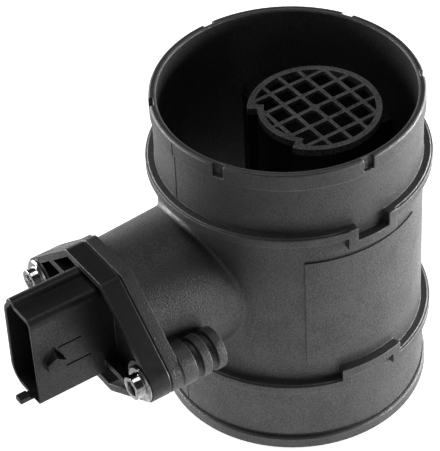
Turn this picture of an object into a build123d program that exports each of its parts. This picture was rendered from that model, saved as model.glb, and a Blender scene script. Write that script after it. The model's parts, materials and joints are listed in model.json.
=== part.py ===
"""Mass airflow sensor: a moulded tube that stands in an intake hose, and a plug-in sensor in its side branch.

Frame: +Z runs up the tube's axis towards the inlet, the origin is the centre of the outlet rim, and the
side branch points along -X. All sizes are in millimetres.
"""
import os
from math import cos, degrees, radians, sin

from build123d import *

# ---- Tube -------------------------------------------------------------------------------------------
TUBE_HEIGHT = 107.0
BORE_RADIUS = 37.7
SEAT_BORE_RADIUS = 36.9        # narrower bore below the inner duct, which stands on the step
SEAT_Z = 34.0
WALL_RADIUS = 39.4             # neck and middle of the tube
LOWER_NECK_RADIUS = 40.2
INLET_COLLAR_RADIUS = 40.0
INLET_COLLAR_HEIGHT = 5.9
OUTLET_COLLAR_RADIUS = 41.0
OUTLET_COLLAR_HEIGHT = 4.2
COLLAR_GROOVE = 0.7
RIM_EDGE = 0.5

# ---- Stop rings, with an index slot in the upper one and a raised tab in the lower one ---------------
RING_ROOT_DEPTH = 1.3          # how far the rings' roots reach into the wall
RING_HEIGHT = 2.8              # how far the rings stand out of the wall
RING_RADIUS = WALL_RADIUS + RING_HEIGHT
RING_THICKNESS = 3.0
RING_LIP = 0.7                 # narrow step along the top outer edge
UPPER_RING_Z = 82.3
LOWER_RING_Z = 24.5
INDEX_ANGLE = 269.5
SLOT_SPAN = 14.8               # degrees
SLOT_DROP = 4.5
TAB_SPAN = 21.0                # degrees
TAB_RISE = 3.7

# ---- Clocking notches of the inlet collar, and the bare label pad ------------------------------------
NOTCH_ANGLES = (25.4, 89.0, 152.6, 207.0, 271.0, 332.4)   # from the branch, anticlockwise from above
NOTCH_WIDTH = 3.4
NOTCH_HEIGHT = 4.2
NOTCH_DEPTH = 1.3
LABEL_ANGLES = (240.5, 298.3)
LABEL_Z = (34.9, 73.9)
LABEL_HEIGHT = 0.45            # how far the pad stands out of the wall
LABEL_ROOT = 1.0               # how far it reaches into the wall

# ---- Side branch and its flange -----------------------------------------------------------------------
BRANCH_Z = 55.0
BRANCH_FOOT_RADIUS = 22.6
BRANCH_RADIUS = 21.0
BRANCH_BORE_RADIUS = 17.2
BRANCH_BORE_END = -43.0
BRANCH_ROOT_X = -28.0          # the branch starts inside the tube's bore and is cut back to it
FOOT_FILLET = 1.6
FOOT_MARGIN = 4.0              # wall kept above and below the branch's foot for the fillet
FLANGE_BACK_X = -61.5
PARTING_X = -65.6
PLATE_FACE_X = -72.0
FLANGE_TOP = 21.5              # above the branch's axis
FLANGE_BOTTOM = 20.5           # below it
FLANGE_FLAT = 8.5              # half-width of the corner centres
FLANGE_CORNER = 3.0
PARTING_CHAMFER = 0.35

# ---- Fixing screws and their bosses -------------------------------------------------------------------
SCREW_SPREAD = 27.9
SCREW_DROP = 2.5
EAR_RADIUS = 6.1
SHANK_RADIUS = 2.0
WASHER_RADIUS = 5.7
WASHER_THICKNESS = 0.9
WASHER_TAPER = 0.5
HEAD_RADIUS = 3.65
HEAD_HEIGHT = 3.6
HEAD_ROUND = 0.6
SOCKET_RADIUS = 2.5
SOCKET_DEPTH = 2.2
LOBE_COUNT = 6
LOBE_VALLEY = 0.8              # these three are shares of the socket's radius
LOBE_REACH = 0.75
LOBE_RADIUS = 0.25
BUSH_WALL = 1.0
BOSS_RADIUS = 6.4
BOSS_END_X = -46.8
BOSS_GROOVE_DEPTH = 1.5
BOSS_GROOVE_WIDTH = 2.2
BOSS_PITCH = 5.0
FAR_BOSS_RADIUS = 5.0          # the far boss is plain, slimmer and shorter
FAR_BOSS_END_X = -52.0
SHANK_COVER = 3.7              # wall of the boss beyond the end of a screw

# ---- Connector shroud ---------------------------------------------------------------------------------
MOUTH_X = -94.5
SHROUD_HALF_WIDTH = 7.8
SHROUD_TOP_Z = 72.7
SHROUD_BOTTOM_Z = 40.9
SHROUD_WALL = 1.4
SHROUD_FLOOR_X = -75.0
NEAR_TOP_RADIUS = 2.8
NEAR_BOTTOM_RADIUS = 1.0
FAR_RADIUS = 6.0
CAVITY_CORNER = 0.5            # smallest corner radius inside the shroud
KEY_RADIUS = 2.8               # rib along the far half of the shroud's roof
KEY_CENTRE = (-3.0, 16.2)      # across and above the branch's axis
KEY_HOLE_RADIUS = 1.0
KEY_HOLE_DEPTH = 5.0
LUG_HEIGHT = 1.9
LUG_FOOT = ((-88.3, 60.5), (-91.5, 56.0), (-91.3, 53.4), (-88.8, 51.3), (-85.6, 51.0), (-85.3, 55.5))
LUG_RIDGE = (-88.5, 57.6)      # where the lug's apex meets its flat top
GUIDE_LINES = ((51.2, -85.2, -76.2), (59.5, -86.6, -78.8))   # level, and from where to where along X
GUIDE_LINE_WIDTH = 0.35
GUIDE_LINE_DEPTH = 0.3
TONGUE_LENGTH = 4.4
TONGUE_ACROSS = (1.3, 4.3)
TONGUE_THICKNESS = 1.6

# ---- Pockets of the sensor's plate --------------------------------------------------------------------
RIM_WIDTH = 2.3
PLATE_FLOOR = 2.2
RIB_WIDTH = 2.2
RIB_OFFSET = 10.0
EAR_WALL_RADIUS = 7.2

# ---- Nose of the sensor, seen from its open side (-Y) -------------------------------------------------
SPIGOT_RADIUS = 16.9
SPIGOT_END_X = -55.0
NOSE_HALF_HEIGHT = 14.6
NOSE_HALF_WIDTH = 6.0
NOSE_TIP_X = 13.0
NOSE_ROUND = 1.5
NOSE_CLEARANCE = 0.3
BAY_END_X = -36.0
BAY_HALF_HEIGHT = 12.8
BAY_FLOOR_Y = 2.0
CARRIER_THICKNESS = 1.2
BOARD_THICKNESS = 0.8
BOARD_INSET = 1.2
EVALUATION_CHIP = (5.5, 1.4, 7.0)
EVALUATION_CHIP_X = -42.25
BEAD_RADIUS = 1.3
BEAD_LEAD_RADIUS = 0.35
COVER_THICKNESS = 1.5
COVER_LAP = 0.9
TEMP_WINDOW_X = (-34.0, -29.0)
TEMP_WINDOW_HALF_HEIGHT = 5.5
CHANNEL_X = (-25.0, 10.5)
CHANNEL_WIDTH = 6.5
CHANNEL_FLOOR_Z = -9.5
OUTLET_RUN = 2.4               # length of the channel's last run, in channel widths
COVER_OUTLET_START = 1.3       # where the cover's outlet begins, in channel widths
COVER_OUTLET_EDGE = 1.0
TONGUE_BAR_Z = (7.2, 12.0)
CHIP_SIZE = (3.0, 0.4, 4.0)
CHIP_END_GAP = 1.4             # from the chip to the channel's wall

# ---- Seal, terminals ----------------------------------------------------------------------------------
SEAL_X = -60.5
SEAL_SECTION = 1.3             # radius of the ring's section
SEAL_EASE = 0.02               # keeps the ring just clear of its groove
TERMINAL_COUNT = 5
TERMINAL_PITCH = 4.6
TERMINAL_WIDTH = 1.5
TERMINAL_THICKNESS = 0.8
TERMINAL_TIP_X = -90.0
TERMINAL_END_X = -48.0
TERMINAL_POINT = 0.4

# ---- Inner duct and its grille ------------------------------------------------------------------------
DUCT_X = 9.6
DUCT_RADIUS = 19.8
DUCT_WALL = 1.8
DUCT_RECESS_RADIUS = 16.7
DUCT_RECESS_HALF_ANGLE = 35.0
DUCT_BOTTOM_Z = 28.0
GRILLE_TOP_Z = 95.2
GRILLE_THICKNESS = 2.4
BAR_WIDTH = 1.15
BAR_DEPTH = 1.6
BAR_PITCH = 6.5
BAR_SINK = 0.2                 # the bars lie this far below the rim's face
HUB_RADIUS = 1.5
ARM_ANGLES = (0.0, 90.0, 270.0)
ARM_THICKNESS = 2.0
ARM_TOP_Z = 78.0
FIT_GAP = 0.1


# ---- Shared helpers -----------------------------------------------------------------------------------
def block(x, y, z):
    """A box between pairs of coordinates."""
    size = [max(pair) - min(pair) for pair in (x, y, z)]
    middle = [(pair[0] + pair[1]) / 2 for pair in (x, y, z)]
    return Pos(*middle) * Box(*size)


def facing_out(x):
    """Plane across the branch at x: its x runs across towards -Y, its y runs up, and it faces outwards."""
    return Plane(origin=(x, 0, BRANCH_Z), x_dir=(0, -1, 0), z_dir=(-1, 0, 0))


def branch_rod(radius, x_from, x_to, across=0.0, up=0.0, end_radius=None):
    """Rod along the branch from x_from outwards to x_to, straight or tapered."""
    length = x_from - x_to
    place = facing_out(x_from) * Pos(across, up, length / 2)
    if end_radius is None:
        return place * Cylinder(radius, length)
    return place * Cone(radius, end_radius, length)


def sector(inner, outer, z_from, z_to, start, span):
    """Part of a ring about Z, from the angle start over span degrees."""
    middle = Pos((inner + outer) / 2, (z_from + z_to) / 2)
    section = Plane.XZ * middle * Rectangle(outer - inner, z_to - z_from)
    return Rot(0, 0, start) * revolve(section, Axis.Z, span)


def screw_places():
    """Across and up positions of the two screws, far one first."""
    return ((-SCREW_SPREAD, -SCREW_DROP), (SCREW_SPREAD, -SCREW_DROP))


def hull(circles):
    """Convex outline round circles given as (x, y, radius)."""
    edges = []
    for x, y, radius in circles:
        edges += (Pos(x, y) * Circle(radius)).edges()
    return make_hull(edges)


def flange_outline(shrink=0.0):
    """Six-sided outline with rounded ends that the housing's flange and the sensor's plate share."""
    corner = FLANGE_CORNER - shrink
    circles = [(across, up, EAR_RADIUS - shrink) for across, up in screw_places()]
    for across in (-FLANGE_FLAT, FLANGE_FLAT):
        circles.append((across, FLANGE_TOP - FLANGE_CORNER, corner))
        circles.append((across, FLANGE_CORNER - FLANGE_BOTTOM, corner))
    return hull(circles)


# ---- Tube housing -------------------------------------------------------------------------------------
def tube_shell():
    """Turned shell of the tube without its rings: collars, necks, wall and stepped bore."""
    collar_z = TUBE_HEIGHT - INLET_COLLAR_HEIGHT
    groove_top = OUTLET_COLLAR_HEIGHT + COLLAR_GROOVE
    outline = [
        (SEAT_BORE_RADIUS + RIM_EDGE, 0), (OUTLET_COLLAR_RADIUS - RIM_EDGE, 0),
        (OUTLET_COLLAR_RADIUS, RIM_EDGE), (OUTLET_COLLAR_RADIUS, OUTLET_COLLAR_HEIGHT - RIM_EDGE),
        (OUTLET_COLLAR_RADIUS - RIM_EDGE, OUTLET_COLLAR_HEIGHT),
        (LOWER_NECK_RADIUS - COLLAR_GROOVE, OUTLET_COLLAR_HEIGHT),
        (LOWER_NECK_RADIUS - COLLAR_GROOVE, groove_top), (LOWER_NECK_RADIUS, groove_top + COLLAR_GROOVE),
        (LOWER_NECK_RADIUS, LOWER_RING_Z + RING_THICKNESS / 2),
        (WALL_RADIUS, LOWER_RING_Z + RING_THICKNESS / 2), (WALL_RADIUS, collar_z),
        (INLET_COLLAR_RADIUS, collar_z + RIM_EDGE), (INLET_COLLAR_RADIUS, TUBE_HEIGHT - RIM_EDGE),
        (INLET_COLLAR_RADIUS - RIM_EDGE, TUBE_HEIGHT), (BORE_RADIUS + RIM_EDGE, TUBE_HEIGHT),
        (BORE_RADIUS, TUBE_HEIGHT - RIM_EDGE), (BORE_RADIUS, SEAT_Z), (SEAT_BORE_RADIUS, SEAT_Z),
        (SEAT_BORE_RADIUS, RIM_EDGE),
    ]
    return revolve(Plane.XZ * Polygon(*outline, align=None), Axis.Z)


def stop_ring(z, window_span, shift):
    """Ring with a stretch moved up or down by shift, joined to the rest by short upright walls."""
    root = WALL_RADIUS - RING_ROOT_DEPTH
    start = INDEX_ANGLE - window_span / 2
    rest = 360 - window_span
    wall = degrees(RING_THICKNESS / RING_RADIUS)
    low, high = sorted((z, z + shift))
    ring = sector(root, RING_RADIUS, z, z + RING_THICKNESS, start + window_span, rest)
    ring += sector(root, RING_RADIUS, z + shift, z + shift + RING_THICKNESS, start, window_span)
    for angle in (start - wall, start + window_span):
        ring += sector(root, RING_RADIUS, low, high + RING_THICKNESS, angle, wall)
    lip = sector(RING_RADIUS - RING_LIP, RING_RADIUS + 1, z + RING_THICKNESS - RING_LIP / 2,
                 z + RING_THICKNESS + 1, start + window_span + wall, rest - 2 * wall)
    return ring - lip


def collar_notches():
    """Rectangular clocking notches cut into the inlet collar."""
    notch = block((INLET_COLLAR_RADIUS - NOTCH_DEPTH, INLET_COLLAR_RADIUS + 1),
                  (-NOTCH_WIDTH / 2, NOTCH_WIDTH / 2), (TUBE_HEIGHT - NOTCH_HEIGHT, TUBE_HEIGHT + 1))
    return [Rot(0, 0, 180 + angle) * notch for angle in NOTCH_ANGLES]


def label_pad():
    """Low raised pad that a label would go on."""
    start, end = LABEL_ANGLES
    return sector(WALL_RADIUS - LABEL_ROOT, WALL_RADIUS + LABEL_HEIGHT, *LABEL_Z, start, end - start)


def shank_end(across):
    """Where the shank of the screw at that place ends, inside its boss."""
    return (BOSS_END_X if across > 0 else FAR_BOSS_END_X) - SHANK_COVER


def screw_boss(across, up):
    """Boss behind the flange that takes a screw: grooved on the near side, plain on the far side."""
    if across < 0:
        return branch_rod(FAR_BOSS_RADIUS, FAR_BOSS_END_X, FLANGE_BACK_X, across, up)
    boss = branch_rod(BOSS_RADIUS, BOSS_END_X, FLANGE_BACK_X, across, up)
    for turn in range(2):
        x = BOSS_END_X - BOSS_PITCH * (turn + 1) + BOSS_GROOVE_WIDTH
        collar = branch_rod(BOSS_RADIUS + 1, x, x - BOSS_GROOVE_WIDTH, across, up)
        boss -= collar - branch_rod(BOSS_RADIUS - BOSS_GROOVE_DEPTH, x, x - BOSS_GROOVE_WIDTH, across, up)
    return boss


def nose_window(x_from, x_to):
    """Opening that the sensor's nose slides through."""
    half_width = NOSE_HALF_WIDTH + NOSE_CLEARANCE
    half_height = NOSE_HALF_HEIGHT + NOSE_CLEARANCE
    return block((x_from, x_to), (-half_width, half_width), (BRANCH_Z - half_height, BRANCH_Z + half_height))


def tube_housing():
    """The whole moulding: tube, rings, branch, flange and screw bosses."""
    branch = branch_rod(BRANCH_FOOT_RADIUS, BRANCH_ROOT_X, FLANGE_BACK_X - 1, end_radius=BRANCH_RADIUS)
    wall = Pos(0, 0, BRANCH_Z) * Cylinder(WALL_RADIUS, 2 * (BRANCH_FOOT_RADIUS + FOOT_MARGIN))
    outside = wall + branch
    foot = outside.edges().filter_by(lambda e: e.geom_type not in (GeomType.CIRCLE, GeomType.LINE))
    outside = fillet(foot, FOOT_FILLET)
    body = tube_shell() + (outside - Pos(0, 0, BRANCH_Z) * Cylinder(BORE_RADIUS, 4 * BRANCH_FOOT_RADIUS))
    body += stop_ring(UPPER_RING_Z, SLOT_SPAN, -SLOT_DROP)
    body += stop_ring(LOWER_RING_Z, TAB_SPAN, TAB_RISE)
    flange = extrude(facing_out(FLANGE_BACK_X) * flange_outline(), FLANGE_BACK_X - PARTING_X)
    flange = chamfer(flange.faces().sort_by(Axis.X)[0].edges(), PARTING_CHAMFER)
    body += flange
    for across, up in screw_places():
        body += screw_boss(across, up)
    for across, up in screw_places():
        body -= branch_rod(SHANK_RADIUS, shank_end(across) + 1, PARTING_X, across, up)
    body -= branch_rod(BRANCH_BORE_RADIUS, BRANCH_BORE_END, PARTING_X)
    body -= nose_window(BRANCH_BORE_END - 1, 0)
    body += label_pad()
    for notch in collar_notches():
        body -= notch
    return body


# ---- Sensor body --------------------------------------------------------------------------------------
def shroud_outline(shrink=0.0):
    """Section of the connector shroud: rounder on its far side than on its near one."""
    middle_z = (SHROUD_TOP_Z + SHROUD_BOTTOM_Z) / 2 - BRANCH_Z
    half_height = (SHROUD_TOP_Z - SHROUD_BOTTOM_Z) / 2
    corners = ((-1, 1, FAR_RADIUS), (-1, -1, FAR_RADIUS),
               (1, 1, NEAR_TOP_RADIUS), (1, -1, NEAR_BOTTOM_RADIUS))
    circles = []
    for side, level, radius in corners:
        across = side * (SHROUD_HALF_WIDTH - radius)
        up = middle_z + level * (half_height - radius)
        circles.append((across, up, max(radius - shrink, CAVITY_CORNER)))
    return hull(circles)


def shroud():
    """Connector shroud with its coding key, latch lug and tongue, before the cavity is cut."""
    body = extrude(facing_out(PARTING_X) * shroud_outline(), PARTING_X - MOUTH_X)
    body += branch_rod(KEY_RADIUS, PARTING_X, MOUTH_X, *KEY_CENTRE)
    body += latch_lug()
    body += block((MOUTH_X - TONGUE_LENGTH, MOUTH_X + 2), (-TONGUE_ACROSS[1], -TONGUE_ACROSS[0]),
                  (SHROUD_BOTTOM_Z, SHROUD_BOTTOM_Z + TONGUE_THICKNESS))
    return body


def latch_lug():
    """Lug on the near face of the shroud that the plug's latch snaps over: a flat top with a sloped point."""
    root = Plane.XZ.offset(SHROUD_HALF_WIDTH)
    top = Plane.XZ.offset(SHROUD_HALF_WIDTH + LUG_HEIGHT)
    foot_sketch = root * Polygon(*LUG_FOOT, align=None)
    top_sketch = top * Polygon(LUG_RIDGE, *LUG_FOOT[1:], align=None)
    return loft([foot_sketch, top_sketch], ruled=True)


def guide_lines():
    """Two fine grooves along the near face of the shroud, behind the lug."""
    cuts = []
    for level, start, end in GUIDE_LINES:
        z = (level - GUIDE_LINE_WIDTH / 2, level + GUIDE_LINE_WIDTH / 2)
        cuts.append(block((start, end), (-SHROUD_HALF_WIDTH - 1, GUIDE_LINE_DEPTH - SHROUD_HALF_WIDTH), z))
    return cuts


def plate_pockets():
    """Pockets moulded into the plate round the shroud and the two ears, with one rib across on each side."""
    depth = PARTING_X - PLATE_FACE_X - PLATE_FLOOR
    field = flange_outline(RIM_WIDTH)
    for across, up in screw_places():
        field -= Pos(across, up) * Circle(EAR_WALL_RADIUS)
    for side in (-1, 1):
        field -= Pos(side * SCREW_SPREAD / 2, -side * RIB_OFFSET) * Rectangle(SCREW_SPREAD, RIB_WIDTH)
    field -= shroud_outline()
    pocket = extrude(facing_out(PARTING_X - PLATE_FLOOR) * field, depth + 1)
    return pocket - branch_rod(KEY_RADIUS, PARTING_X, PLATE_FACE_X - 2, *KEY_CENTRE)


def nose_block():
    """Spigot and nose before their pockets are cut."""
    body = branch_rod(SPIGOT_RADIUS, SPIGOT_END_X, PARTING_X)
    seat = (SEAL_X + SEAL_SECTION, SEAL_X - SEAL_SECTION)
    body -= branch_rod(SPIGOT_RADIUS + 1, *seat) - branch_rod(BRANCH_BORE_RADIUS - 2 * SEAL_SECTION, *seat)
    nose = block((SPIGOT_END_X, NOSE_TIP_X), (-NOSE_HALF_WIDTH, NOSE_HALF_WIDTH),
                 (BRANCH_Z - NOSE_HALF_HEIGHT, BRANCH_Z + NOSE_HALF_HEIGHT))
    nose = fillet(nose.faces().sort_by(Axis.X)[-1].edges(), NOSE_ROUND)
    return body + nose


def bay(y_from, y_to, grow=0.0):
    """Space of the electronics bay between two levels of y."""
    half = BAY_HALF_HEIGHT + grow
    return block((SPIGOT_END_X + 1 - grow, BAY_END_X + grow), (y_from, y_to),
                 (BRANCH_Z - half, BRANCH_Z + half))


def channel(y_from, y_to):
    """Bent bypass channel: in at the top near the tip, down, back, and up past the sensor chip."""
    start, end = CHANNEL_X
    floor = BRANCH_Z + CHANNEL_FLOOR_Z
    inlet = block((end - CHANNEL_WIDTH, end), (y_from, y_to), (floor, BRANCH_Z + NOSE_HALF_HEIGHT + 1))
    across = block((start, end), (y_from, y_to), (floor, floor + CHANNEL_WIDTH))
    rise = block((start, start + CHANNEL_WIDTH), (y_from, y_to), (floor, BRANCH_Z + TONGUE_BAR_Z[1]))
    outlet = block((start, start + OUTLET_RUN * CHANNEL_WIDTH), (y_from, y_to),
                   (BRANCH_Z + TONGUE_BAR_Z[1] - CHANNEL_WIDTH, BRANCH_Z + TONGUE_BAR_Z[1]))
    return inlet + across + rise + outlet


def channel_lid(y_from, y_to, gap=0.0):
    """Outline of the channel's cover between two levels of y."""
    start, end = CHANNEL_X
    top = BRANCH_Z + BAY_HALF_HEIGHT + COVER_LAP - gap
    bottom = BRANCH_Z + CHANNEL_FLOOR_Z - COVER_LAP + gap
    return block((start - COVER_LAP + gap, end + COVER_LAP - gap), (y_from, y_to), (bottom, top))


def sensor_body():
    """The sensor's one moulding: plate, connector shroud, spigot and nose."""
    face = -NOSE_HALF_WIDTH
    lid_y = face + COVER_THICKNESS
    plate = extrude(facing_out(PARTING_X) * flange_outline(), PARTING_X - PLATE_FACE_X)
    plate = chamfer(plate.faces().sort_by(Axis.X)[-1].edges(), PARTING_CHAMFER)
    body = plate - plate_pockets()
    body += shroud() + nose_block()
    body -= extrude(facing_out(SHROUD_FLOOR_X) * shroud_outline(SHROUD_WALL), SHROUD_FLOOR_X - MOUTH_X + 1)
    body -= branch_rod(KEY_HOLE_RADIUS, MOUTH_X + KEY_HOLE_DEPTH, MOUTH_X, *KEY_CENTRE)
    for across, up in screw_places():
        body -= branch_rod(SHANK_RADIUS + BUSH_WALL + FIT_GAP, PARTING_X, PLATE_FACE_X, across, up)
    body -= bay(lid_y, BAY_FLOOR_Y) + bay(face - 1, lid_y, COVER_LAP)
    body -= channel(lid_y, BAY_FLOOR_Y) + channel_lid(face - 1, lid_y)
    body -= temp_window()
    body -= carrier_tongue()
    for line in guide_lines():
        body -= line
    for index in range(TERMINAL_COUNT):
        body -= terminal(index)
    return body


def temp_window():
    """Window right through the nose that the air temperature bead hangs in."""
    z = (BRANCH_Z - TEMP_WINDOW_HALF_HEIGHT, BRANCH_Z + TEMP_WINDOW_HALF_HEIGHT)
    return block(TEMP_WINDOW_X, (-NOSE_HALF_WIDTH - 1, NOSE_HALF_WIDTH + 1), z)


# ---- Pieces inside the sensor -------------------------------------------------------------------------
def carrier_tongue():
    """Tongue of the carrier plate that reaches into the bypass channel."""
    start, _ = CHANNEL_X
    z = [BRANCH_Z + level for level in TONGUE_BAR_Z]
    return block((BAY_END_X - 1, start + CHANNEL_WIDTH - 1),
                 (BAY_FLOOR_Y - CARRIER_THICKNESS, BAY_FLOOR_Y), z)


def carrier_plate():
    """Metal plate on the bay's floor, with a tongue for the sensor chip."""
    half = BAY_HALF_HEIGHT - FIT_GAP
    plate = block((SPIGOT_END_X + 1 + FIT_GAP, BAY_END_X - FIT_GAP),
                  (BAY_FLOOR_Y - CARRIER_THICKNESS, BAY_FLOOR_Y), (BRANCH_Z - half, BRANCH_Z + half))
    return plate + carrier_tongue()


def board_face_y():
    """Level of the hybrid board's top face."""
    return BAY_FLOOR_Y - CARRIER_THICKNESS - BOARD_THICKNESS


def hybrid_board():
    """Ceramic board bonded to the carrier plate."""
    half = BAY_HALF_HEIGHT - BOARD_INSET / 2
    return block((SPIGOT_END_X + 1 + BOARD_INSET, BAY_END_X - BOARD_INSET),
                 (board_face_y(), board_face_y() + BOARD_THICKNESS), (BRANCH_Z - half, BRANCH_Z + half))


def evaluation_chip():
    """Signal chip in the middle of the board."""
    _, thickness, _ = EVALUATION_CHIP
    return Pos(EVALUATION_CHIP_X, board_face_y() - thickness / 2, BRANCH_Z) * Box(*EVALUATION_CHIP)


def sensor_chip():
    """Hot-film chip on the carrier's tongue, in the bypass channel."""
    length, thickness, height = CHIP_SIZE
    end = CHANNEL_X[0] + CHANNEL_WIDTH - CHIP_END_GAP
    top = BAY_FLOOR_Y - CARRIER_THICKNESS
    middle = BRANCH_Z + sum(TONGUE_BAR_Z) / 2
    return block((end - length, end), (top - thickness, top), (middle - height / 2, middle + height / 2))


def temp_sensor():
    """Thermistor bead held across the window by its two leads."""
    x = sum(TEMP_WINDOW_X) / 2
    leads = Cylinder(BEAD_LEAD_RADIUS, 2 * TEMP_WINDOW_HALF_HEIGHT)
    return Pos(x, 0, BRANCH_Z) * (Sphere(BEAD_RADIUS) + leads)


def electronics_cover():
    """Lid over the electronics bay, flush with the nose."""
    face = -NOSE_HALF_WIDTH
    return bay(face, face + COVER_THICKNESS, COVER_LAP - FIT_GAP)


def channel_cover():
    """Lid over the bypass channel, with the outlet opening."""
    face = -NOSE_HALF_WIDTH
    lid = channel_lid(face, face + COVER_THICKNESS, FIT_GAP)
    start = CHANNEL_X[0] + COVER_OUTLET_START * CHANNEL_WIDTH
    top = BRANCH_Z + TONGUE_BAR_Z[1]
    levels = (top - CHANNEL_WIDTH + COVER_OUTLET_EDGE, top - COVER_OUTLET_EDGE)
    return lid - block((start, start + CHANNEL_WIDTH), (face - 1, 0), levels)


def terminal(index):
    """Flat contact blade from the connector's cavity to the edge of the board."""
    middle = (SHROUD_TOP_Z + SHROUD_BOTTOM_Z) / 2
    z = middle + (index - (TERMINAL_COUNT - 1) / 2) * TERMINAL_PITCH
    y = board_face_y()
    blade = block((TERMINAL_TIP_X, TERMINAL_END_X), (y - TERMINAL_THICKNESS, y),
                  (z - TERMINAL_WIDTH / 2, z + TERMINAL_WIDTH / 2))
    return chamfer(blade.faces().sort_by(Axis.X)[0].edges().filter_by(Axis.Y), TERMINAL_POINT)


def seal_ring():
    """Rubber ring in the spigot's groove."""
    path_radius = BRANCH_BORE_RADIUS - SEAL_SECTION
    return facing_out(SEAL_X) * Torus(path_radius, SEAL_SECTION - SEAL_EASE)


# ---- Screws and bushes --------------------------------------------------------------------------------
def fixing_screw(across, up):
    """Washer-head screw with a six-lobed socket."""
    washer_face = PLATE_FACE_X - WASHER_THICKNESS
    head_face = PLATE_FACE_X - HEAD_HEIGHT
    screw = branch_rod(SHANK_RADIUS - FIT_GAP, shank_end(across), PLATE_FACE_X, across, up)
    screw += branch_rod(WASHER_RADIUS, PLATE_FACE_X, washer_face, across, up, WASHER_RADIUS - WASHER_TAPER)
    head = branch_rod(HEAD_RADIUS, washer_face, head_face, across, up)
    screw += fillet(head.edges().sort_by(Axis.X)[0], HEAD_ROUND)
    lobes = Circle(SOCKET_RADIUS * LOBE_VALLEY)
    for turn in range(LOBE_COUNT):
        angle = radians(360 / LOBE_COUNT * turn)
        reach = SOCKET_RADIUS * LOBE_REACH
        lobes += Pos(reach * cos(angle), reach * sin(angle)) * Circle(SOCKET_RADIUS * LOBE_RADIUS)
    socket = extrude(facing_out(head_face + SOCKET_DEPTH) * Pos(across, up) * lobes, SOCKET_DEPTH + 1)
    return screw - socket


def screw_bush(across, up):
    """Metal bush that keeps the screw from crushing the plate's ear."""
    bush = branch_rod(SHANK_RADIUS + BUSH_WALL, PARTING_X, PLATE_FACE_X, across, up)
    return bush - branch_rod(SHANK_RADIUS + FIT_GAP, PARTING_X, PLATE_FACE_X, across, up)


# ---- Inner duct and grille ----------------------------------------------------------------------------
def duct_section(outer, recess_outer, wall):
    """Outside and inside of a ring with a shallower arc on the side that faces the branch."""
    half = radians(DUCT_RECESS_HALF_ANGLE)
    reach = 2 * DUCT_RADIUS
    corner = (-reach * cos(half), reach * sin(half))
    wedge = Polygon((0, 0), corner, (corner[0], -corner[1]), align=None)
    outside = (Circle(outer) - wedge) + (Circle(recess_outer) & wedge)
    notch = offset(wedge, wall)
    inside = (Circle(outer - wall) - notch) + (Circle(recess_outer - wall) & notch)
    return outside, inside


def inner_duct():
    """Inner duct on three arms that stand on the step of the tube's bore."""
    top = GRILLE_TOP_Z - GRILLE_THICKNESS
    outside, inside = duct_section(DUCT_RADIUS, DUCT_RECESS_RADIUS, DUCT_WALL)
    base = Pos(DUCT_X, 0, DUCT_BOTTOM_Z)
    duct = extrude(base * outside, top - DUCT_BOTTOM_Z)
    hollow = extrude(base * inside, top - DUCT_BOTTOM_Z)
    arm = block((0, 2 * BORE_RADIUS), (-ARM_THICKNESS / 2, ARM_THICKNESS / 2), (SEAT_Z, ARM_TOP_Z))
    reach = Pos(0, 0, TUBE_HEIGHT / 2) * Cylinder(BORE_RADIUS - FIT_GAP, TUBE_HEIGHT)
    for angle in ARM_ANGLES:
        duct += (Pos(DUCT_X, 0, 0) * Rot(0, 0, angle) * arm) & reach
    return duct - hollow - nose_window(-BORE_RADIUS, DUCT_X)


def flow_grille():
    """Round protective grille that caps the inner duct."""
    outside, inside = duct_section(DUCT_RADIUS, DUCT_RECESS_RADIUS, DUCT_WALL)
    base = GRILLE_TOP_Z - GRILLE_THICKNESS
    grille = extrude(Pos(DUCT_X, 0, base) * (outside - inside), GRILLE_THICKNESS)
    field = extrude(Pos(DUCT_X, 0, GRILLE_TOP_Z - BAR_DEPTH) * inside, BAR_DEPTH - BAR_SINK)
    count = int(DUCT_RADIUS / BAR_PITCH)
    bars = Pos(DUCT_X, 0, GRILLE_TOP_Z - BAR_DEPTH / 2) * Cylinder(HUB_RADIUS, BAR_DEPTH)
    for step in range(-count, count + 1):
        place = step * BAR_PITCH
        half = BAR_WIDTH / 2
        z = (GRILLE_TOP_Z - BAR_DEPTH, GRILLE_TOP_Z)
        bars += block((DUCT_X + place - half, DUCT_X + place + half), (-DUCT_RADIUS, DUCT_RADIUS), z)
        bars += block((DUCT_X - DUCT_RADIUS, DUCT_X + DUCT_RADIUS), (place - half, place + half), z)
    return grille + (bars & field)


# ---- Export -------------------------------------------------------------------------------------------
def all_parts():
    """Every node by name."""
    far, near = screw_places()
    parts = {
        "tube_housing": tube_housing(),
        "inner_duct": inner_duct(),
        "flow_grille": flow_grille(),
        "sensor_body": sensor_body(),
        "electronics_cover": electronics_cover(),
        "channel_cover": channel_cover(),
        "carrier_plate": carrier_plate(),
        "hybrid_board": hybrid_board(),
        "evaluation_chip": evaluation_chip(),
        "sensor_chip": sensor_chip(),
        "temp_sensor": temp_sensor(),
        "seal_ring": seal_ring(),
        "screw_far": fixing_screw(*far),
        "screw_near": fixing_screw(*near),
        "bush_far": screw_bush(*far),
        "bush_near": screw_bush(*near),
    }
    for index in range(TERMINAL_COUNT):
        parts[f"terminal_{index + 1}"] = terminal(index)
    return parts


os.makedirs("parts", exist_ok=True)
for name, solid in all_parts().items():
    export_step(solid, f"parts/{name}.step")
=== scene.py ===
"""Mass airflow sensor: a moulded black tube that stands on its outlet, with a sensor in its side branch.

Metres throughout. +Z runs up the tube's axis to the inlet, and the side branch points along -X.
"""
import json
import math
import bmesh
import bpy
from mathutils import Matrix, Vector

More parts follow.
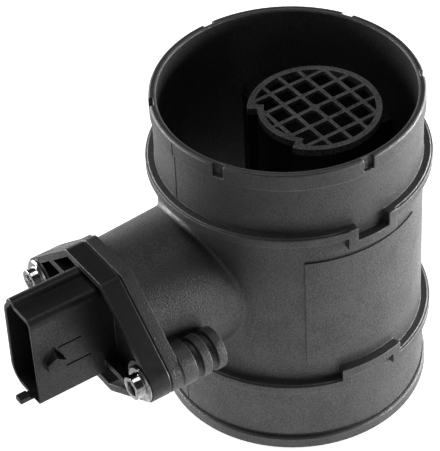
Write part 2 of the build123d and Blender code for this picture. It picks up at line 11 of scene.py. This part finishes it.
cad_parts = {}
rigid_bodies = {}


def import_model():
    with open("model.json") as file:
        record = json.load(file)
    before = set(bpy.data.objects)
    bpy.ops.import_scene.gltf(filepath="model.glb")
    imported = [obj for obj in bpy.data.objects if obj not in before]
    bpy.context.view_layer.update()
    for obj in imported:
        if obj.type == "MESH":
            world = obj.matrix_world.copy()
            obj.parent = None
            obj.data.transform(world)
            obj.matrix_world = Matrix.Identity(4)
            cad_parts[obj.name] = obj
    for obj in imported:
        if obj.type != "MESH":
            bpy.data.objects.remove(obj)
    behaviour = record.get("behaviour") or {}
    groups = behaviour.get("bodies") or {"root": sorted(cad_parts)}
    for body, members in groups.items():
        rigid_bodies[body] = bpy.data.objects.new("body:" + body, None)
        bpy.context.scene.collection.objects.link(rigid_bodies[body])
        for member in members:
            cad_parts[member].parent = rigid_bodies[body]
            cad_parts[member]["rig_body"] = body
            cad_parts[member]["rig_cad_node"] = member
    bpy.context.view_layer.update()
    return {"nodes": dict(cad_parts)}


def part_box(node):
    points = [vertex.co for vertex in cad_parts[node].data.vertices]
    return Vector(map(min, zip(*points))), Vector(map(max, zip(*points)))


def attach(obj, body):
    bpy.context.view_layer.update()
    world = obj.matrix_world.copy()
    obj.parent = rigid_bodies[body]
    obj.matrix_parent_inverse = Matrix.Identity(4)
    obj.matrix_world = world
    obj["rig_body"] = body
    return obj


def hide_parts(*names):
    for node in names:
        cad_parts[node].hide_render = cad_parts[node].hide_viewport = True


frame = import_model()


# ---- Studio ------------------------------------------------------------------------------------------
# A white paper table and white walls under a dim ceiling. Two low soft lamps stand at the part's sides and
# a weak one hangs over it, so that upright walls shine and whatever faces up stays dark.
CAMERA_PLACE = Vector((-0.303914, -0.438070, 0.519565))
CAMERA_TARGET = Vector((-0.025278, 0.0, 0.067513))
CAMERA_ROLL = math.radians(-3.0807)
CAMERA_LENS = 187.21
CAMERA_NEAR = 0.01
LAMPS = {                       # place, size and power of each
    "lamp_right": ((0.70, -0.20, 0.09), (0.95, 0.20), 14.0),
    "lamp_left": ((-0.34, 0.62, 0.12), (0.70, 0.26), 6.5),
    "lamp_over": ((-0.05, 0.08, 0.90), (0.40, 0.40), 1.2),
}
LAMP_AIM = Vector((0.0, 0.0, 0.05))
WHITE = (1, 1, 1, 1)
AIR_LEVEL = 0.02                # light that the room's air gives to dull surfaces
WALL_LEVEL = 0.6                # what a gloss sees of the walls and of the ceiling
CEILING_LEVEL = 0.03
CEILING_FROM, CEILING_TO = 0.0, 0.40    # upward part of the direction where the walls end
TABLE_RADIUS = 2.5
TABLE_SIDES = 96
PAPER_WHITE = (0.9, 0.9, 0.9, 1)
PAPER_ROUGHNESS = 0.9
PAPER_GLOSS = 0.1
PAPER_GLOW = 0.90
PAINTED_POOL_CENTRE = (0.046, -0.028, 0.0)      # a painted pool of light: a gloss sees the paper's glow bright here, and dim further away
PAINTED_POOL_FROM, PAINTED_POOL_TO, PAINTED_POOL_REST = 0.09, 0.17, 0.08

scene = bpy.context.scene
scene.view_settings.view_transform = "Standard"
camera = bpy.data.objects.new("camera", bpy.data.cameras.new("camera"))
scene.collection.objects.link(camera)
camera.data.lens = CAMERA_LENS
camera.data.clip_start = CAMERA_NEAR
camera.location = CAMERA_PLACE
aim = (CAMERA_TARGET - CAMERA_PLACE).to_track_quat("-Z", "Y").to_matrix()
camera.rotation_euler = (aim @ Matrix.Rotation(CAMERA_ROLL, 3, "Z")).to_euler()
scene.camera = camera

for name, (place, size, power) in LAMPS.items():
    lamp = bpy.data.objects.new(name, bpy.data.lights.new(name, "AREA"))
    scene.collection.objects.link(lamp)
    lamp.data.shape = "RECTANGLE"
    lamp.data.size, lamp.data.size_y = size
    lamp.data.energy = power
    lamp.location = place
    lamp.rotation_euler = (LAMP_AIM - lamp.location).to_track_quat("-Z", "Y").to_euler()


def wire(tree, kind, feeds=None, **settings):
    """Adds a node of a kind, with its settings, and feeds its sockets with values or other sockets."""
    node = tree.nodes.new("ShaderNode" + kind)
    for key, value in settings.items():
        setattr(node, key, value)
    for socket, source in (feeds or {}).items():
        if isinstance(source, bpy.types.NodeSocket):
            tree.links.new(source, node.inputs[socket])
        else:
            node.inputs[socket].default_value = source
    return node


def reckon(tree, operation, *values):
    """Result of a sum on values or sockets."""
    return wire(tree, "Math", dict(enumerate(values)), operation=operation).outputs["Value"]


def remap(tree, value, before=(0.0, 1.0), after=(0.0, 1.0), curve="LINEAR"):
    """The value carried from one range to another, and held inside it."""
    limits = {"From Min": before[0], "From Max": before[1], "To Min": after[0], "To Max": after[1]}
    return wire(tree, "MapRange", {"Value": value, **limits}, interpolation_type=curve).outputs["Result"]


def seen_rays(tree):
    """1 for the camera's own rays, and 1 for those together with rays of a gloss or through glass."""
    rays = wire(tree, "LightPath").outputs
    gloss = reckon(tree, "MAXIMUM", rays["Is Glossy Ray"], rays["Is Transmission Ray"])
    return rays["Is Camera Ray"], reckon(tree, "MAXIMUM", rays["Is Camera Ray"], gloss)


air = bpy.data.worlds.new("studio_air")
scene.world = air
air.use_nodes = True
air.cycles.sampling_method = "NONE"
tree = air.node_tree
camera_ray, seen = seen_rays(tree)
towards = wire(tree, "SeparateXYZ", {"Vector": wire(tree, "TexCoord").outputs["Generated"]})
walls = remap(tree, towards.outputs["Z"], (CEILING_FROM, CEILING_TO), (WALL_LEVEL, CEILING_LEVEL),
              "SMOOTHSTEP")
walls = reckon(tree, "MAXIMUM", walls, camera_ray)
tree.nodes["Background"].inputs["Color"].default_value = WHITE
tree.links.new(remap(tree, seen, after=(AIR_LEVEL, walls)), tree.nodes["Background"].inputs["Strength"])

bpy.ops.object.select_all(action="DESELECT")
bpy.ops.mesh.primitive_circle_add(vertices=TABLE_SIDES, radius=TABLE_RADIUS, fill_type="NGON")
table = bpy.context.object
table.name = "paper_table"
paper = bpy.data.materials.new("white_paper")
paper.use_nodes = True
paper.cycles.emission_sampling = "NONE"
tree = paper.node_tree
shader = tree.nodes["Principled BSDF"]
shader.inputs["Base Color"].default_value = PAPER_WHITE
shader.inputs["Roughness"].default_value = PAPER_ROUGHNESS
shader.inputs["Specular IOR Level"].default_value = PAPER_GLOSS
shader.inputs["Emission Color"].default_value = WHITE
camera_ray, seen = seen_rays(tree)
# The glow that a gloss sees is a painted pool of light on the paper round the part. Camera rays see the
# paper evenly white.
away = wire(tree, "VectorMath", {0: wire(tree, "TexCoord").outputs["Object"], 1: PAINTED_POOL_CENTRE},
            operation="DISTANCE")
painted_pool = remap(tree, away.outputs["Value"], (PAINTED_POOL_FROM, PAINTED_POOL_TO), (1.0, PAINTED_POOL_REST))
painted_pool = reckon(tree, "MAXIMUM", painted_pool, camera_ray)
glow = reckon(tree, "MULTIPLY", reckon(tree, "MULTIPLY", seen, painted_pool), PAPER_GLOW)
tree.links.new(glow, shader.inputs["Emission Strength"])
table.data.materials.append(paper)


# ---- Tube housing ------------------------------------------------------------------------------------
# One injection moulding in glass-filled black nylon: tube, stop rings, side branch, flange and screw
# bosses. Its cavity is spark eroded, so every face has a fine grain, and outer edges are rubbed smooth.
EDGE_ROUND = 0.00025            # radius that the tool leaves on outer edges
ROUND_STEPS = 2
SHARP = math.radians(35)        # an edge that turns further than this gets its radius
SMOOTH = math.radians(50)       # an edge that turns less than this is shaded as part of a curve
MERGE = 2e-6                    # corners of loose triangles nearer than this are one
FLAT_WEIGHT = 90                # how much large flat faces rule the shading beside them
PAD_RADII = 0.0392, 0.0400      # the label pad's outline lies between these radii and levels
PAD_LEVELS = 0.034, 0.075

PATCHES = 90.0                  # to the metre, as the fibres and each plastic's grains are
FIBRES = 900.0
PIT_SHARE = 0.72                # of the fine pits in the mottling, with patches for the rest
MOTTLE_RANGE = 0.43, 0.57       # noise where the mottling goes from none to full
FIBRE_RANGE = 0.16, 0.05        # distance from a fibre's end where its fleck goes from none to full
FLECK = 0.5                     # how rubbed a fibre's end looks
HOLLOW_SHADE = 0.3              # the grain's hollows, as painted shade, and dark patches at random have this share of the colour
WEAR_AND_HIGHLIGHT_RANGE = 0.45, 1.0          # wear and painted highlight of an edge, in the grain's hollows and on its tips
PATCH_ROUGHNESS = 0.12          # added in the hollows and taken off on the tips
RIM_POLISH = -0.10              # change of roughness at a worn edge


def shader_group(name, inputs, outputs):
    """Empty shader group with named sockets, what its inputs give inside it, and its last node."""
    group = bpy.data.node_groups.new(name, "ShaderNodeTree")
    for label, kind in inputs:
        group.interface.new_socket(label, in_out="INPUT", socket_type="NodeSocket" + kind)
    for label, kind in outputs:
        group.interface.new_socket(label, in_out="OUTPUT", socket_type="NodeSocket" + kind)
    return group, group.nodes.new("NodeGroupInput").outputs, group.nodes.new("NodeGroupOutput")


def give(tree, sources, node):
    """Links sockets to a node's inputs by the inputs' names."""
    for label, source in sources.items():
        tree.links.new(source, node.inputs[label])


def mix_colours(tree, share, first, second):
    """Colour that goes from the first to the second as share goes from 0 to 1."""
    colour_a, colour_b, colour_out = 6, 7, 2        # a Mix node has sockets of the same name for each type
    mix = wire(tree, "Mix", {"Factor": share, colour_a: first, colour_b: second}, data_type="RGBA")
    return mix.outputs[colour_out]


grain, given, result = shader_group(
    "moulded_grain", [("Position", "Vector"), ("Grains", "Float")],
    [("Height", "Float"), ("Mottle", "Float"), ("Fibres", "Float")])
pits = wire(grain, "TexNoise", {"Vector": given["Position"], "Scale": given["Grains"],
                                "Detail": 3.0, "Roughness": 0.65}).outputs["Fac"]
patches = wire(grain, "TexNoise", {"Vector": given["Position"], "Scale": PATCHES,
                                   "Detail": 4.0, "Roughness": 0.6}).outputs["Fac"]
fibres = wire(grain, "TexVoronoi", {"Vector": given["Position"], "Scale": FIBRES}).outputs["Distance"]
mottle = wire(grain, "Mix", {"Factor": PIT_SHARE, "A": patches, "B": pits}).outputs["Result"]
give(grain, {"Height": pits, "Mottle": remap(grain, mottle, MOTTLE_RANGE),
             "Fibres": remap(grain, fibres, FIBRE_RANGE)}, result)

# A plastic's colour: lighter on rounded outer edges, partly as wear and partly as a painted highlight, and
# lighter at the glass fibres' ends.
rubbing_and_highlight, given, result = shader_group(
    "rubbed_and_highlit_edges", [("Colour", "Color"), ("Rubbed and highlit", "Color"), ("Roughness", "Float"), ("Mottle", "Float"),
                     ("Fibres", "Float"), ("Rim", "Float")], [("Colour", "Color"), ("Roughness", "Float")])
# The colour is darker in the grain's hollows as painted shade, and in dark patches at random.
painted_shade_and_patches = wire(rubbing_and_highlight, "HueSaturation", {"Color": given["Colour"], "Value": HOLLOW_SHADE}).outputs["Color"]
body_colour = mix_colours(rubbing_and_highlight, given["Mottle"], painted_shade_and_patches, given["Colour"])
# At rounded edges the colour is lightened, partly as wear and partly as a painted highlight.
worn_and_highlit = reckon(rubbing_and_highlight, "MULTIPLY", remap(rubbing_and_highlight, given["Mottle"], after=WEAR_AND_HIGHLIGHT_RANGE), given["Rim"])
wear_fleck_and_highlight = reckon(rubbing_and_highlight, "MAXIMUM", worn_and_highlit, reckon(rubbing_and_highlight, "MULTIPLY", given["Fibres"], FLECK))
patchy = remap(rubbing_and_highlight, given["Mottle"], after=(PATCH_ROUGHNESS, -PATCH_ROUGHNESS))
rough = reckon(rubbing_and_highlight, "ADD", given["Roughness"], patchy)
give(rubbing_and_highlight, {"Colour": mix_colours(rubbing_and_highlight, wear_fleck_and_highlight, body_colour, given["Rubbed and highlit"]),
               "Roughness": reckon(rubbing_and_highlight, "MULTIPLY_ADD", worn_and_highlit, RIM_POLISH, rough)}, result)


def moulded_plastic(name, colour, rubbed_and_highlit, roughness, grains, depth, gloss=0.5):
    """Grained plastic with flecks of glass fibre, and smoother outer edges that are lighter, partly from
    wear and partly as a painted highlight.
    """
    plastic = bpy.data.materials.new(name)
    plastic.use_nodes = True
    tree = plastic.node_tree
    shader = tree.nodes["Principled BSDF"]
    shader.inputs["Specular IOR Level"].default_value = gloss
    skin = wire(tree, "Group", node_tree=grain)
    skin.inputs["Grains"].default_value = grains
    tree.links.new(wire(tree, "TexCoord").outputs["Object"], skin.inputs["Position"])
    edges = wire(tree, "Attribute", attribute_name="rim")
    rub_and_highlight = wire(tree, "Group", node_tree=rubbing_and_highlight)
    for label, value in (("Colour", colour), ("Rubbed and highlit", rubbed_and_highlit), ("Roughness", roughness)):
        rub_and_highlight.inputs[label].default_value = value
    give(tree, {"Mottle": skin.outputs["Mottle"], "Fibres": skin.outputs["Fibres"],
                "Rim": edges.outputs["Fac"]}, rub_and_highlight)
    bump = wire(tree, "Bump", {"Height": skin.outputs["Height"], "Strength": 1.0, "Distance": depth})
    give(tree, {"Base Color": rub_and_highlight.outputs["Colour"], "Roughness": rub_and_highlight.outputs["Roughness"],
                "Normal": bump.outputs["Normal"]}, shader)
    return plastic


def round_edges(piece, width, segments, **settings):
    """Rounds the active piece's edges."""
    bevel = piece.modifiers.new("edges", "BEVEL")
    bevel.width, bevel.segments = width, segments
    for key, value in settings.items():
        setattr(bevel, key, value)
    bpy.ops.object.modifier_apply(modifier="edges")


def mark_rims(piece):
    """Marks the outer edges that were rounded, which have the second material, but no inner corner. The mark
    carries their wear and painted highlight.
    """
    shape = bmesh.new()
    shape.from_mesh(piece.data)
    rim = shape.loops.layers.float.new("rim")
    for face in shape.faces:
        turn = sum(edge.calc_face_angle_signed(0.0) for edge in face.edges)
        for corner in face.loops:
            corner[rim] = float(face.material_index > 0 and turn > 0)
        face.material_index = 0
    shape.to_mesh(piece.data)
    shape.free()


def moulding(node, material, width=EDGE_ROUND, crisp=lambda place: False):
    """The CAD node's shape as a moulding, with its edges rounded by width except where crisp says not to."""
    bpy.ops.object.select_all(action="DESELECT")
    piece = frame["nodes"][node].copy()
    piece.data = piece.data.copy()
    piece.name = node + "_moulding"
    scene.collection.objects.link(piece)
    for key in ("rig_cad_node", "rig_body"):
        del piece[key]
    piece.parent = None
    bpy.context.view_layer.objects.active = piece
    piece.select_set(True)
    bpy.ops.mesh.customdata_custom_splitnormals_clear()
    bpy.ops.object.mode_set(mode="EDIT")
    bpy.ops.mesh.select_all(action="SELECT")
    bpy.ops.mesh.remove_doubles(threshold=MERGE)
    bpy.ops.object.mode_set(mode="OBJECT")
    shape = bmesh.new()
    shape.from_mesh(piece.data)
    amount = shape.edges.layers.float.new("bevel_weight_edge")
    for edge in shape.edges:
        middle = (edge.verts[0].co + edge.verts[1].co) / 2
        edge[amount] = float(edge.calc_face_angle(0.0) > SHARP and not crisp(middle))
    shape.to_mesh(piece.data)
    shape.free()
    piece.data.materials.clear()
    piece.data.materials.append(material)
    piece.data.materials.append(material)       # for the rounded edges, until they are marked
    round_edges(piece, width, ROUND_STEPS, limit_method="WEIGHT", use_clamp_overlap=False, material=1)
    mark_rims(piece)
    piece.data.materials.pop(index=1)
    bpy.ops.object.shade_smooth_by_angle(angle=SMOOTH)
    weight = piece.modifiers.new("flats", "WEIGHTED_NORMAL")
    weight.weight = FLAT_WEIGHT
    weight.keep_sharp = True
    bpy.ops.object.modifier_apply(modifier="flats")
    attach(piece, "root")
    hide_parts(node)


def on_label_pad(place):
    """True at the label pad's outline, which the tool cuts crisp."""
    return PAD_RADII[0] < place.xy.length < PAD_RADII[1] and PAD_LEVELS[0] < place.z < PAD_LEVELS[1]


# The lighter edge colour is partly wear and partly a painted highlight.
black_nylon = moulded_plastic("black_nylon", colour=(0.062, 0.062, 0.063, 1),
                              rubbed_and_highlit=(0.150, 0.150, 0.153, 1), roughness=0.46, grains=2000.0,
                              depth=0.00019, gloss=0.85)
moulding("tube_housing", black_nylon, crisp=on_label_pad)


# ---- Mould seams -------------------------------------------------------------------------------------
# The two halves of the housing's mould meet in the plane of the branch and leave a fine raised seam on the
# tube, in line with the branch and opposite it. It is part of the moulding and breaks off at each ring.
SEAM_WIDTH = 0.00042
SEAM_PROUD = 0.00014
SEAM_ROOT = 0.0006              # how far the seam's root reaches into the wall
SEAM_ROUND = SEAM_PROUD * 0.6
SEAMS = [                       # side of the tube along X, wall radius, and levels
    (-1, 0.0400, 0.1016, 0.1064), (-1, 0.0394, 0.0853, 0.1011), (-1, 0.0402, 0.0050, 0.0245),
    (1, 0.0400, 0.1016, 0.1064), (1, 0.0394, 0.0853, 0.1011), (1, 0.0394, 0.0276, 0.0822),
    (1, 0.0402, 0.0050, 0.0245)]

bpy.ops.object.select_all(action="DESELECT")
strips = []
for side, radius, low, high in SEAMS:
    middle = side * (radius + (SEAM_PROUD - SEAM_ROOT) / 2)
    bpy.ops.mesh.primitive_cube_add(size=1, location=(middle, 0, (low + high) / 2),
                                    scale=(SEAM_PROUD + SEAM_ROOT, SEAM_WIDTH, high - low))
    strips.append(bpy.context.object)
for strip in strips:
    strip.select_set(True)
bpy.ops.object.join()
seams = bpy.context.object
seams.name = "mould_seams"
bpy.ops.object.transform_apply(location=True, rotation=True, scale=True)
round_edges(seams, SEAM_ROUND, ROUND_STEPS)
bpy.ops.object.shade_smooth_by_angle(angle=SMOOTH)
seams.data.materials.append(black_nylon)
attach(seams, "root")


# ---- Inner duct --------------------------------------------------------------------------------------
# The small duct on three arms that leads air past the sensor's nose. Dull black nylon, moulded apart
# and pushed into the tube until its arms stand on the bore's step.
duct_nylon = moulded_plastic("duct_nylon", colour=(0.014, 0.014, 0.015, 1), rubbed_and_highlit=(0.03, 0.03, 0.031, 1),
                             roughness=0.65, grains=1500.0, depth=0.00004, gloss=0.3)
moulding("inner_duct", duct_nylon)


# ---- Flow grille -------------------------------------------------------------------------------------
# The round guard that caps the inner duct and smooths the air. Dark grey nylon, its bars, hub and notched
# rim in one moulding that sits on the duct's end.
GRILLE_ROUND = 0.00018
grille_nylon = moulded_plastic("grille_nylon", colour=(0.30, 0.30, 0.31, 1), rubbed_and_highlit=(0.42, 0.42, 0.43, 1),
                               roughness=0.55, grains=1700.0, depth=0.00005)
moulding("flow_grille", grille_nylon, GRILLE_ROUND)


# ---- Sensor body -------------------------------------------------------------------------------------
# The sensor's one moulding: connector shroud, flange plate, spigot and nose. Black polyester, smoother
# than the tube, and drawn off its tool along the branch.
module_polyester = moulded_plastic("module_polyester", colour=(0.030, 0.030, 0.032, 1),
                                   rubbed_and_highlit=(0.095, 0.095, 0.098, 1), roughness=0.40, grains=1400.0,
                                   depth=0.00003)
moulding("sensor_body", module_polyester)


# ---- Covers of the nose ------------------------------------------------------------------------------
# Two thin lids let into the nose's side, over the electronics bay and over the bypass channel. Smooth
# black polyester, bonded all round.
COVER_ROUND = 0.00015
cover_polyester = moulded_plastic("cover_polyester", colour=(0.045, 0.045, 0.047, 1),
                                  rubbed_and_highlit=(0.09, 0.09, 0.092, 1), roughness=0.36, grains=1200.0,
                                  depth=0.00002)
for node in ("electronics_cover", "channel_cover"):
    moulding(node, cover_polyester, COVER_ROUND)


# ---- Pieces inside the sensor ------------------------------------------------------------------------
# Aluminium carrier, ceramic hybrid board, its evaluation chip, the hot-film chip on the carrier's tongue
# and the air temperature bead. All are bonded or soldered in place behind the covers.
CLOUDS = 400.0                  # dull patches to the metre
TONE_RANGE = 0.12, 0.38         # noise where the metal goes from dark to bright
CLOUD_RANGE = 0.3, 0.7          # noise where a patch goes from bright to dull
DULL_RANGE = 0.7, 1.4           # share of the roughness in bright patches and in dull ones

drawing, given, result = shader_group(
    "drawn_metal", [("Position", "Vector"), ("Fineness", "Vector"), ("Bright", "Color"), ("Dark", "Color"),
                    ("Roughness", "Float")],
    [("Colour", "Color"), ("Roughness", "Float"), ("Height", "Float")])
drawn = wire(drawing, "Mapping", {"Vector": given["Position"], "Scale": given["Fineness"]}).outputs["Vector"]
lines = wire(drawing, "TexNoise", {"Vector": drawn, "Scale": 1.0, "Detail": 4.0}).outputs["Fac"]
clouds = wire(drawing, "TexNoise", {"Vector": given["Position"], "Scale": CLOUDS,
                                    "Detail": 3.0}).outputs["Fac"]
tone = remap(drawing, reckon(drawing, "MULTIPLY", lines, clouds), TONE_RANGE)
dulling = remap(drawing, clouds, CLOUD_RANGE, DULL_RANGE)
give(drawing, {"Colour": mix_colours(drawing, tone, given["Dark"], given["Bright"]),
               "Roughness": reckon(drawing, "MULTIPLY", dulling, given["Roughness"]),
               "Height": lines}, result)


def metal(name, bright, dark, roughness, fineness, depth=0.00001):
    """Bare or plated metal with dull patches and fine lines, closest along the axis of most fineness."""
    alloy = bpy.data.materials.new(name)
    alloy.use_nodes = True
    tree = alloy.node_tree
    shader = tree.nodes["Principled BSDF"]
    shader.inputs["Metallic"].default_value = 1.0
    skin = wire(tree, "Group", node_tree=drawing)
    tree.links.new(wire(tree, "TexCoord").outputs["Object"], skin.inputs["Position"])
    for label, value in (("Fineness", fineness), ("Bright", bright), ("Dark", dark),
                         ("Roughness", roughness)):
        skin.inputs[label].default_value = value
    bump = wire(tree, "Bump", {"Height": skin.outputs["Height"], "Strength": 1.0, "Distance": depth})
    give(tree, {"Base Color": skin.outputs["Colour"], "Roughness": skin.outputs["Roughness"],
                "Normal": bump.outputs["Normal"]}, shader)
    return alloy


def dress(node, material):
    """Gives a CAD node that keeps its shape a better material."""
    node = frame["nodes"][node]
    node.data.materials.clear()
    node.data.materials.append(material)


carrier_aluminium = metal("carrier_aluminium", bright=(0.78, 0.79, 0.80, 1), dark=(0.50, 0.51, 0.52, 1),
                          roughness=0.30, fineness=(250.0, 250.0, 4000.0))
board_ceramic = moulded_plastic("board_ceramic", colour=(0.74, 0.73, 0.68, 1), rubbed_and_highlit=(0.80, 0.79, 0.75, 1),
                                roughness=0.5, grains=5000.0, depth=0.00001)
chip_epoxy = moulded_plastic("chip_epoxy", colour=(0.050, 0.050, 0.058, 1), rubbed_and_highlit=(0.10, 0.10, 0.11, 1),
                             roughness=0.55, grains=6000.0, depth=0.00001)
film_silicon = metal("film_silicon", bright=(0.16, 0.20, 0.25, 1), dark=(0.10, 0.13, 0.17, 1),
                     roughness=0.12, fineness=(9000.0, 900.0, 900.0))
bead_glaze = moulded_plastic("bead_glaze", colour=(0.20, 0.085, 0.035, 1), rubbed_and_highlit=(0.3, 0.15, 0.07, 1),
                             roughness=0.25, grains=2500.0, depth=0.00001)
dress("carrier_plate", carrier_aluminium)
dress("hybrid_board", board_ceramic)
dress("evaluation_chip", chip_epoxy)
dress("sensor_chip", film_silicon)
dress("temp_sensor", bead_glaze)


# ---- Seal ring ---------------------------------------------------------------------------------------
# Rubber ring in the spigot's groove that seals the sensor in the branch. Moulded, with a dull skin, and
# rolled over the spigot before the sensor goes in.
seal_rubber = moulded_plastic("seal_rubber", colour=(0.018, 0.018, 0.018, 1), rubbed_and_highlit=(0.03, 0.03, 0.03, 1),
                              roughness=0.7, grains=2600.0, depth=0.00003)
dress("seal_ring", seal_rubber)


# ---- Compression bushes ------------------------------------------------------------------------------
# Turned brass sleeves let into the plate's ears, so that the screws can't crush the plastic. The lathe
# leaves fine lines round them.
bush_brass = metal("bush_brass", bright=(0.78, 0.60, 0.28, 1), dark=(0.52, 0.38, 0.16, 1),
                   roughness=0.28, fineness=(6000.0, 200.0, 200.0))
for node in ("bush_far", "bush_near"):
    dress(node, bush_brass)


# ---- Fixing screws -----------------------------------------------------------------------------------
# Two plated steel screws with a captive washer and a six-lobed socket, each made here as one piece. They
# pass through the bushes and cut their own thread in the housing's bosses.
WASHER_RADIUS = 0.0057
WASHER_TOP_RADIUS = 0.0052
WASHER_HEIGHT = 0.0009
HEAD_RADIUS = 0.00365
HEAD_HEIGHT = 0.0036            # of the head's face above the plate
SOCKET_RADIUS = 0.0024
SOCKET_DEPTH = 0.0022
FLOOR_INSET, FLOOR_DROP = 0.3, 0.2      # slope round the socket's floor, as shares of the socket's radius
LOBES = 6
LOBE_DEPTH = 0.14               # share of the socket's radius
SHANK_ROOT = 0.00155
SHANK_CREST = 0.00190
SHANK_POINT = 0.7               # radius of the shank's end as a share of its root's
THREAD_PITCH = 0.0015
FLANK, CREST_LAND, ROOT_LAND = 0.35, 0.1, 0.2   # shares of the pitch
SCREW_SIDES = 72
SCREW_ROUND = 0.00022
SCREW_ROUND_STEPS = 3
SCREW_SHARP = math.radians(50)
SCREW_SMOOTH = math.radians(40)
SQUARE_ON = 0.9                 # a face looks along the axis if its normal does by more than this
ON_LEVEL = 1e-6


def pick_faces(piece, wanted):
    """In edit mode, selects just the faces whose middle and normal pass a test."""
    bpy.ops.mesh.select_all(action="DESELECT")
    shape = bmesh.from_edit_mesh(piece.data)
    for face in shape.faces:
        if wanted(face.calc_center_median(), face.normal):
            face.select_set(True)
    bmesh.update_edit_mesh(piece.data)


def grow(height, ratio=1.0):
    """Extrudes the selected end face along Z by height, then scales it about the screw's axis."""
    bpy.ops.mesh.extrude_region_move(TRANSFORM_OT_translate={"value": (0, 0, height)})
    if ratio != 1.0:
        bpy.ops.transform.resize(value=(ratio, ratio, 1), center_override=(0, 0, 0))


def lobe_socket(piece):
    """Bends the selected round face into lobes."""
    shape = bmesh.from_edit_mesh(piece.data)
    for corner in (v for v in shape.verts if v.select):
        angle = math.atan2(corner.co.y, corner.co.x)
        corner.co.xy = corner.co.xy * (1 - LOBE_DEPTH / 2 + LOBE_DEPTH / 2 * math.cos(LOBES * angle))
    bmesh.update_edit_mesh(piece.data)


def make_screw(name, length):
    """Screw about Z whose washer lies on z = 0, with a shank of that length below."""
    bpy.ops.object.select_all(action="DESELECT")
    bpy.ops.mesh.primitive_cylinder_add(vertices=SCREW_SIDES, radius=WASHER_RADIUS, depth=WASHER_HEIGHT / 2,
                                        location=(0, 0, WASHER_HEIGHT / 4))
    screw = bpy.context.object
    screw.name = name
    screw.data.transform(screw.matrix_world)
    screw.matrix_world = Matrix.Identity(4)
    bpy.ops.object.mode_set(mode="EDIT")
    bpy.ops.mesh.select_mode(type="FACE")
    pick_faces(screw, lambda middle, normal: normal.z > SQUARE_ON)
    grow(WASHER_HEIGHT / 2, WASHER_TOP_RADIUS / WASHER_RADIUS)
    bpy.ops.mesh.inset(thickness=WASHER_TOP_RADIUS - HEAD_RADIUS)
    grow(HEAD_HEIGHT - WASHER_HEIGHT)
    bpy.ops.mesh.inset(thickness=HEAD_RADIUS - SOCKET_RADIUS)
    lobe_socket(screw)
    grow(-SOCKET_DEPTH)
    bpy.ops.mesh.inset(thickness=SOCKET_RADIUS * FLOOR_INSET, depth=-SOCKET_RADIUS * FLOOR_DROP)
    pick_faces(screw, lambda middle, normal: normal.z < -SQUARE_ON and abs(middle.z) < ON_LEVEL)
    bpy.ops.mesh.inset(thickness=WASHER_RADIUS - SHANK_ROOT)
    widen = SHANK_CREST / SHANK_ROOT
    level = 0.0
    for _ in range(int(length / THREAD_PITCH) - 1):
        for drop, ratio in ((FLANK, widen), (CREST_LAND, 1.0), (FLANK, 1 / widen), (ROOT_LAND, 1.0)):
            grow(-drop * THREAD_PITCH, ratio)
            level -= drop * THREAD_PITCH
    grow(-(length + level), SHANK_POINT)
    bpy.ops.object.mode_set(mode="OBJECT")
    round_edges(screw, SCREW_ROUND, SCREW_ROUND_STEPS, limit_method="ANGLE", angle_limit=SCREW_SHARP)
    bpy.ops.object.shade_smooth_by_angle(angle=SCREW_SMOOTH)
    return screw


screw_zinc = metal("screw_zinc", bright=(0.72, 0.72, 0.73, 1), dark=(0.30, 0.30, 0.31, 1),
                   roughness=0.11, fineness=(700.0, 700.0, 700.0), depth=0.000002)
for side in ("far", "near"):
    node = "screw_" + side
    low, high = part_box(node)
    plate_face = low[0] + HEAD_HEIGHT
    screw = make_screw(node + "_plated", high[0] - plate_face)
    place = Vector((plate_face, (low[1] + high[1]) / 2, (low[2] + high[2]) / 2))
    screw.data.transform(Matrix.Translation(place) @ Matrix.Rotation(-math.pi / 2, 4, "Y"))
    screw.data.materials.append(screw_zinc)
    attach(screw, "root")
    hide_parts(node)


# ---- Terminals ---------------------------------------------------------------------------------------
# Five flat blades from the connector's cavity to the board. Stamped bronze, plated with tin, and
# moulded into the sensor's body.
TERMINALS = 5
TERMINAL_ROUND = 0.0001
terminal_tin = metal("terminal_tin", bright=(0.80, 0.79, 0.76, 1), dark=(0.55, 0.54, 0.51, 1),
                     roughness=0.25, fineness=(300.0, 5000.0, 5000.0))
for number in range(1, TERMINALS + 1):
    moulding(f"terminal_{number}", terminal_tin, TERMINAL_ROUND)
